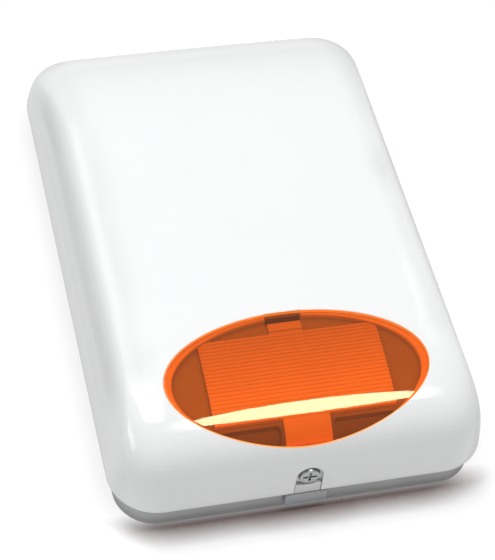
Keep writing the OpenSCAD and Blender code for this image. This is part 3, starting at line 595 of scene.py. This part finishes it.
PLASTIC_GRAIN = {"grain": 1400.0, "relief": 0.00004}
MATERIALS = {
    "cover_white": finish("gloss_white_plastic", (0.76, 0.765, 0.77), rough=0.13, spread=0.025, tint=0.006,
                          cloud=18.0, grain=260.0, bump=0.02, relief=0.0001, edge=0.03,
                          soft_sides=True),
    "lens_amber": amber("clear_amber_plastic", (0.965, 0.60, 0.24)),
    "gasket": finish("clear_silicone", (0.92, 0.92, 0.90), rough=0.30, grain=900.0, bump=0.1),
    "lug_grey": finish("lug_plastic", (0.31, 0.32, 0.335), rough=0.42, tint=0.03,
                       two_tone_and_painted_shade=("Y", -0.0129, (0.66, 0.665, 0.67)), **PLASTIC_GRAIN),
    # painted shade on the carrier: darker in its recesses, and a darker tone below Z = -0.1152 m, where the
    # pockets lie deep behind the lens
    "frame_grey": finish("frame_plastic", (0.38, 0.42, 0.50), rough=0.5, tint=0.05, bump=0.25,
                         shade=0.3, two_tone_and_painted_shade=("Z", -0.1152, (0.22, 0.25, 0.38)), **PLASTIC_GRAIN),
    # painted shade: the ribbed plate darkens towards its top, standing in for the shade of the lens rim
    "diffuser": finish("ribbed_white_plastic", (0.98, 0.90, 0.80), rough=0.38, tint=0.02,
                       fade=("Z", -0.105, -0.076, 0.70), **PLASTIC_GRAIN),
    "base_grey": finish("textured_grey_plastic", (0.44, 0.45, 0.46), rough=0.48, tint=0.03, bump=0.25,
                        edge=0.15, **PLASTIC_GRAIN),
    "steel": finish("zinc_plated_steel", (0.62, 0.63, 0.65), rough=0.26, metallic=1.0, spread=0.08,
                    tint=0.08, grain=700.0, bump=0.12, stretch=(1, 6, 1)),
    "rubber": finish("moulded_rubber", (0.02, 0.02, 0.021), rough=0.62, bump=0.3, grain=1800.0),
    "white_nylon": finish("white_nylon", (0.80, 0.80, 0.77), rough=0.36, tint=0.02, **PLASTIC_GRAIN),
    "brass": finish("machined_brass", (0.72, 0.50, 0.20), rough=0.24, metallic=1.0, grain=900.0,
                    stretch=(1, 1, 8)),
    "pcb": finish("green_solder_mask", (0.012, 0.13, 0.045), rough=0.28, tint=0.15, cloud=220.0, coat=0.4,
                  grain=600.0, bump=0.15),
    "terminal_green": finish("green_terminal_plastic", (0.03, 0.28, 0.10), rough=0.36, **PLASTIC_GRAIN),
    "relay_blue": finish("blue_relay_case", (0.02, 0.10, 0.42), rough=0.30, **PLASTIC_GRAIN),
    "capacitor": finish("shrink_sleeve", (0.015, 0.02, 0.05), rough=0.30, coat=0.3, grain=500.0),
    "coil": finish("enamelled_copper", (0.42, 0.14, 0.05), rough=0.30, metallic=0.8, grain=2200.0, bump=0.7,
                   relief=0.0002, stretch=(0.1, 3, 0.1)),
    "black_plastic": finish("black_plastic", (0.022, 0.022, 0.024), rough=0.42, bump=0.25, **PLASTIC_GRAIN),
    "header_white": finish("header_plastic", (0.72, 0.70, 0.62), rough=0.4, **PLASTIC_GRAIN),
    "cell_green": finish("cell_sleeve", (0.05, 0.30, 0.10), rough=0.28, coat=0.5, tint=0.08, grain=300.0),
    "lead_red": finish("red_lead", (0.45, 0.02, 0.015), rough=0.38, grain=1500.0),
    "lead_black": finish("black_lead", (0.02, 0.02, 0.022), rough=0.38, grain=1500.0),
    "lead_orange": finish("orange_lead", (0.70, 0.20, 0.02), rough=0.38, grain=1500.0),
    "led": finish("led_package", (0.85, 0.80, 0.45), rough=0.22, coat=0.6, grain=600.0),
    "plunger_red": finish("red_nylon", (0.50, 0.03, 0.02), rough=0.36, **PLASTIC_GRAIN),
}

# painted shade: the screw darkens strongly in its slot and the hollows round its head
screw_finish = finish("worn_screw_with_painted_shade", (0.40, 0.405, 0.41), rough=0.34, metallic=1.0, spread=0.08, tint=0.10,
                      grain=500.0, bump=0.2, relief=0.0001, shade=0.7)

slot_of = {entry["node"]: entry["material_slot"] for entry in frame["record"]["subparts"]}


def dress(obj, slot_name):
    obj.data.materials.clear()
    obj.data.materials.append(MATERIALS[slot_name])


for piece, node, body in ((cover, "outer_cover", "cover"), (lens, "lens", "cover")):
    dress(piece, slot_of[node])
    if piece is lens:
        # painted light: the side faces of the lens glow orange, standing in for light carried through its
        # moulded edge
        piece.data.materials.append(finish(
            "amber_edge_painted_glow", (0.95, 0.42, 0.10), rough=0.35, tint=0.03,
            extra={"Emission Color": (1.0, 0.42, 0.10, 1), "Emission Strength": 0.45}))
        for poly in edge_faces(piece):
            poly.material_index = 1
    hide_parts(node)
    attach(piece, body)


# ---------- CAD pieces that are shown ----------

def smooth_by_angle_group():
    group = bpy.data.node_groups.new("smooth_by_angle", "GeometryNodeTree")
    group.interface.new_socket("Geometry", in_out="INPUT", socket_type="NodeSocketGeometry")
    group.interface.new_socket("Geometry", in_out="OUTPUT", socket_type="NodeSocketGeometry")
    start, end = group.nodes.new("NodeGroupInput"), group.nodes.new("NodeGroupOutput")
    faces = group.nodes.new("GeometryNodeSetShadeSmooth")
    edges = group.nodes.new("GeometryNodeSetShadeSmooth")
    edges.domain = "EDGE"
    angle = group.nodes.new("GeometryNodeInputMeshEdgeAngle")
    compare = group.nodes.new("FunctionNodeCompare")
    compare.operation = "LESS_THAN"
    compare.inputs[1].default_value = math.radians(35)
    group.links.new(angle.outputs["Unsigned Angle"], compare.inputs[0])
    group.links.new(start.outputs[0], faces.inputs["Geometry"])
    group.links.new(faces.outputs[0], edges.inputs["Geometry"])
    group.links.new(compare.outputs[0], edges.inputs["Shade Smooth"])
    group.links.new(edges.outputs[0], end.inputs[0])
    return group


BEVELS = {"back_plate": 0.5, "screw_lug": 0.4, "relay": 0.5, "terminal_block": 0.25, "strobe_tray": 0.35,
          "tamper_switch": 0.25, "tamper_bracket": 0.25, "tamper_button": 0.2, "battery_strap": 0.2,
          "pcb_chips": 0.2, "pcb_headers": 0.15, "lead_plugs": 0.2, "horn_bell": 0.25, "driver_case": 0.3,
          "cover_screw": 0.12, "screw_washer": 0.08, "cable_grommet": 0.2, "battery_cells": 0.4,
          "strobe_leds": 0.1, "main_pcb": 0.1, "strobe_pcb": 0.1, "capacitors": 0.15, "driver_coil": 0.15,
          "wall_tamper_guide": 0.25, "wall_tamper_plunger": 0.25, "hinge_pins": 0.15, "pcb_screws": 0.12,
          "strap_screws": 0.12, "horn_screws": 0.12, "strobe_screws": 0.12, "terminal_screws": 0.1,
          "threaded_insert": 0.1}
smooth_group = smooth_by_angle_group()
for node, obj in frame["nodes"].items():
    if obj.hide_render:
        continue
    dress(obj, slot_of[node])
    if node == "cover_screw":
        obj.data.materials[0] = screw_finish
    if "custom_normal" in obj.data.attributes:
        obj.data.attributes.remove(obj.data.attributes["custom_normal"])
    weld = obj.modifiers.new("weld", "WELD")
    weld.merge_threshold = 2e-6
    if node in BEVELS:
        bevel = obj.modifiers.new("bevel", "BEVEL")
        bevel.width = BEVELS[node] * MM
        bevel.segments = 2
        bevel.limit_method = "ANGLE"
        bevel.angle_limit = math.radians(50)
    smooth = obj.modifiers.new("smooth", "NODES")
    smooth.node_group = smooth_group


# ---------- stage ----------

FLOOR_Y = 0.3 * MM
FLOOR_HALF = 4.0
# white of the floor, and the colour of its painted contact shadow
FLOOR_WHITE, FLOOR_SHADE = (0.98, 0.98, 0.98, 1), (0.185, 0.13, 0.12, 1)
# the tone that the siren's own gloss and side walls get back from the floor
FLOOR_BOUNCE = (0.62, 0.62, 0.62, 1)
# the floor's glow towards the camera, with painted shade close to the siren
GLOW_WHITE, GLOW_SHADE, GLOW_STRENGTH = (1, 1, 1, 1), (0.86, 0.85, 0.85, 1), 1.05
# reach of the painted contact shade, and the open share of the sky from full shade to none
SHADE_REACH, SHADE_FULL, SHADE_NONE = 0.018, 0.52, 0.90
# the lit patch below the siren: its upper edge, lower edge and sides, each as two places in metres
PATCH_TOP, PATCH_FOOT, PATCH_SIDE = (-0.129, -0.120), (-0.22, -0.165), (0.10, 0.16)
# rays shorter than this pass through the floor, which lies close behind the base
FLOOR_SKIP = 0.002


def floor_material():
    """White floor with a warm painted shade below the siren and a faint painted shade beside it; it is grey
    where only the siren's gloss sees it.
    """
    mat, tree = nodes_of("studio_floor")
    near = add(tree, "ShaderNodeAmbientOcclusion", {"Distance": SHADE_REACH}, samples=8)
    far = ranged(tree, near.outputs["AO"], 0.0, 1.0, SHADE_FULL, SHADE_NONE)
    geometry = add(tree, "ShaderNodeNewGeometry")
    place = add(tree, "ShaderNodeSeparateXYZ", {0: geometry.outputs["Position"]})
    across = add(tree, "ShaderNodeMath", {0: place.outputs["X"]}, operation="ABSOLUTE")
    above = ranged(tree, place.outputs["Z"], 0.0, 1.0, *PATCH_TOP)
    below = ranged(tree, place.outputs["Z"], 1.0, 0.0, *PATCH_FOOT)
    aside = ranged(tree, across.outputs[0], 0.0, 1.0, *PATCH_SIDE)
    over_under = add(tree, "ShaderNodeMath", {0: above, 1: below}, operation="MAXIMUM")
    outside = add(tree, "ShaderNodeMath", {0: over_under.outputs[0], 1: aside}, operation="MAXIMUM")
    beside = outside.outputs[0]
    path = add(tree, "ShaderNodeLightPath")
    unseen = add(tree, "ShaderNodeMath", {0: 1.0, 1: path.outputs["Is Camera Ray"]}, operation="SUBTRACT")
    indirect = add(tree, "ShaderNodeMath", {0: beside, 1: unseen.outputs[0]}, operation="MULTIPLY")
    shaded = mixed(tree, far, FLOOR_SHADE, FLOOR_WHITE)
    bounce = mixed(tree, indirect.outputs[0], shaded, FLOOR_BOUNCE)
    grain = add(tree, "ShaderNodeBump",
                {"Height": noise(tree, 400.0, 3.0), "Strength": 0.05, "Distance": 0.0002})
    matt = add(tree, "ShaderNodeBsdfDiffuse", {"Color": bounce, "Normal": grain.outputs["Normal"]})
    glow = add(tree, "ShaderNodeEmission",
               {"Color": mixed(tree, far, GLOW_SHADE, GLOW_WHITE), "Strength": GLOW_STRENGTH})
    seen = add(tree, "ShaderNodeMath", {0: beside, 1: path.outputs["Is Camera Ray"]}, operation="MULTIPLY")
    lit = add(tree, "ShaderNodeMixShader", {0: seen.outputs[0], 1: matt.outputs[0], 2: glow.outputs[0]})
    clear = add(tree, "ShaderNodeBsdfTransparent")
    short = add(tree, "ShaderNodeMath", {0: path.outputs["Ray Length"], 1: FLOOR_SKIP}, operation="LESS_THAN")
    see_through = add(tree, "ShaderNodeMath", {0: geometry.outputs["Backfacing"], 1: short.outputs[0]},
                      operation="MAXIMUM")
    blend = add(tree, "ShaderNodeMixShader",
                {0: see_through.outputs[0], 1: lit.outputs[0], 2: clear.outputs[0]})
    out = add(tree, "ShaderNodeOutputMaterial")
    tree.links.new(blend.outputs[0], out.inputs["Surface"])
    return mat


def build_floor(half=FLOOR_HALF):
    bm = bmesh.new()
    corners = [(-half, FLOOR_Y, -half), (half, FLOOR_Y, -half), (half, FLOOR_Y, half), (-half, FLOOR_Y, half)]
    face = bm.faces.new([bm.verts.new(c) for c in corners])
    face.normal_update()
    if face.normal.y > 0:
        face.normal_flip()
    mesh = bpy.data.meshes.new("floor")
    bm.to_mesh(mesh)
    bm.free()
    obj = bpy.data.objects.new("floor", mesh)
    bpy.context.scene.collection.objects.link(obj)
    obj.data.materials.append(floor_material())
    return obj


build_floor()

world = bpy.data.worlds.new("studio")
bpy.context.scene.world = world
world.use_nodes = True
# light that the surroundings give, and how bright the backdrop looks behind the siren
WORLD_STRENGTH, BACKDROP_STRENGTH = 0.40, 0.95
world.node_tree.nodes.clear()
soft = add(world.node_tree, "ShaderNodeBackground", {"Color": (1, 1, 1, 1), "Strength": WORLD_STRENGTH})
backdrop = add(world.node_tree, "ShaderNodeBackground",
               {"Color": (1, 1, 1, 1), "Strength": BACKDROP_STRENGTH})
world_path = add(world.node_tree, "ShaderNodeLightPath")
world_mix = add(world.node_tree, "ShaderNodeMixShader",
                {0: world_path.outputs["Is Camera Ray"], 1: soft.outputs[0], 2: backdrop.outputs[0]})
world_out = add(world.node_tree, "ShaderNodeOutputWorld")
world.node_tree.links.new(world_mix.outputs[0], world_out.inputs["Surface"])


def softbox(name, direction, distance, target, width, height, radiance, up=(0, 0, 1), colour=(1, 1, 1)):
    """A rectangular light that faces target from direction, with the given radiance."""
    light = bpy.data.lights.new(name, "AREA")
    light.shape = "RECTANGLE"
    light.size, light.size_y = width, height
    light.energy = radiance * math.pi * width * height
    light.color = colour
    obj = bpy.data.objects.new(name, light)
    bpy.context.scene.collection.objects.link(obj)
    back = Vector(direction).normalized()
    right = Vector(up).cross(back).normalized()
    rows = Matrix((right, back.cross(right), back)).transposed()
    obj.matrix_world = Matrix.Translation(Vector(target) + back * distance) @ rows.to_4x4()
    obj.visible_camera = False
    return obj


# the key's reflection lies along the lower bend of the lens; the others fill the front and the left side
bend = Vector((-1.5, -50.5, -112.8)) * MM
key = softbox("key", (0.225, -0.964, -0.125), 1.0, bend, 0.33, 0.23, 18.0)
key.data.shape = "ELLIPSE"
middle = (0, -0.03, 0)
softbox("fill", (-0.17, -0.95, 0.26), 1.3, middle, 0.5, 0.9, 5.2)
softbox("left", (-0.45, -0.66, 0.60), 1.2, middle, 0.2, 0.5, 5.0)
softbox("side", (-0.92, -0.30, -0.10), 1.2, middle, 0.4, 0.5, 3.2)


# ---------- camera ----------

CAMERA_AZ, CAMERA_EL, CAMERA_ROLL = -0.2635, -0.651, -0.284
CAMERA_DISTANCE = 3.2716 * COVER_H * MM
CAMERA_LENS = 121.12
target = Vector((-2.51, -26.0, -22.96)) * MM
back = Vector((math.sin(CAMERA_AZ) * math.cos(CAMERA_EL), -math.cos(CAMERA_AZ) * math.cos(CAMERA_EL),
               math.sin(CAMERA_EL)))
side = Vector((0, 0, 1)).cross(back).normalized()
over = back.cross(side)
cos_roll, sin_roll = math.cos(CAMERA_ROLL), math.sin(CAMERA_ROLL)
right = cos_roll * side + sin_roll * over
upward = cos_roll * over - sin_roll * side
camera_data = bpy.data.cameras.new("camera")
camera_data.lens = CAMERA_LENS
camera_data.sensor_width = 36.0
camera_data.clip_start = 0.01
camera = bpy.data.objects.new("camera", camera_data)
bpy.context.scene.collection.objects.link(camera)
turn = Matrix((right, upward, back)).transposed()
camera.matrix_world = Matrix.Translation(target + back * CAMERA_DISTANCE) @ turn.to_4x4()
bpy.context.scene.camera = camera
bpy.context.scene.view_settings.view_transform = "Standard"
